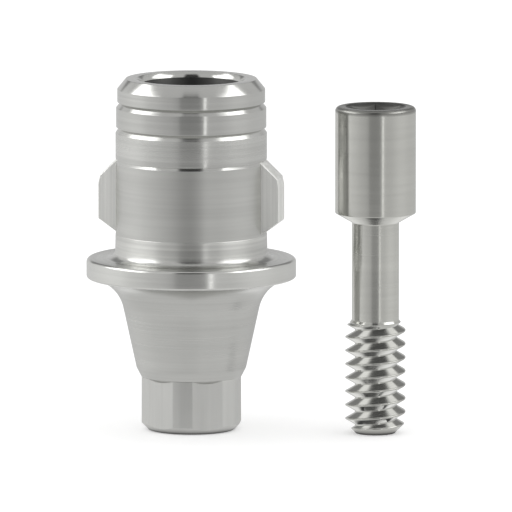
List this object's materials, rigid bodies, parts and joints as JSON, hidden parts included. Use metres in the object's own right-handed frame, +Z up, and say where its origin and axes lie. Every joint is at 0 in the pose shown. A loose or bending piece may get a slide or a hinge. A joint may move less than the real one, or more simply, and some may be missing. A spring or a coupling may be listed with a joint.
{
  "type": "dental abutment",
  "caption": "Turned abutment base with a hexagonal end, sealing cone, flange and grooved chimney, with its retaining screw standing beside it.",
  "frame": {"origin": "centre of the hexagon's end face, on the axis of the base, at the height that both pieces stand on", "axes": "+Z up the axis of the base towards its open rim, +X towards the screw, -Y towards the camera"},
  "size_m": [0.0084, 0.0054, 0.009],
  "materials": {
    "base_titanium": "fine turned satin",
    "screw_titanium": "fine turned satin"
  },
  "bodies": {
    "root": {"abutment_base": "base_titanium", "abutment_screw": "screw_titanium"}
  },
  "joints": []
}
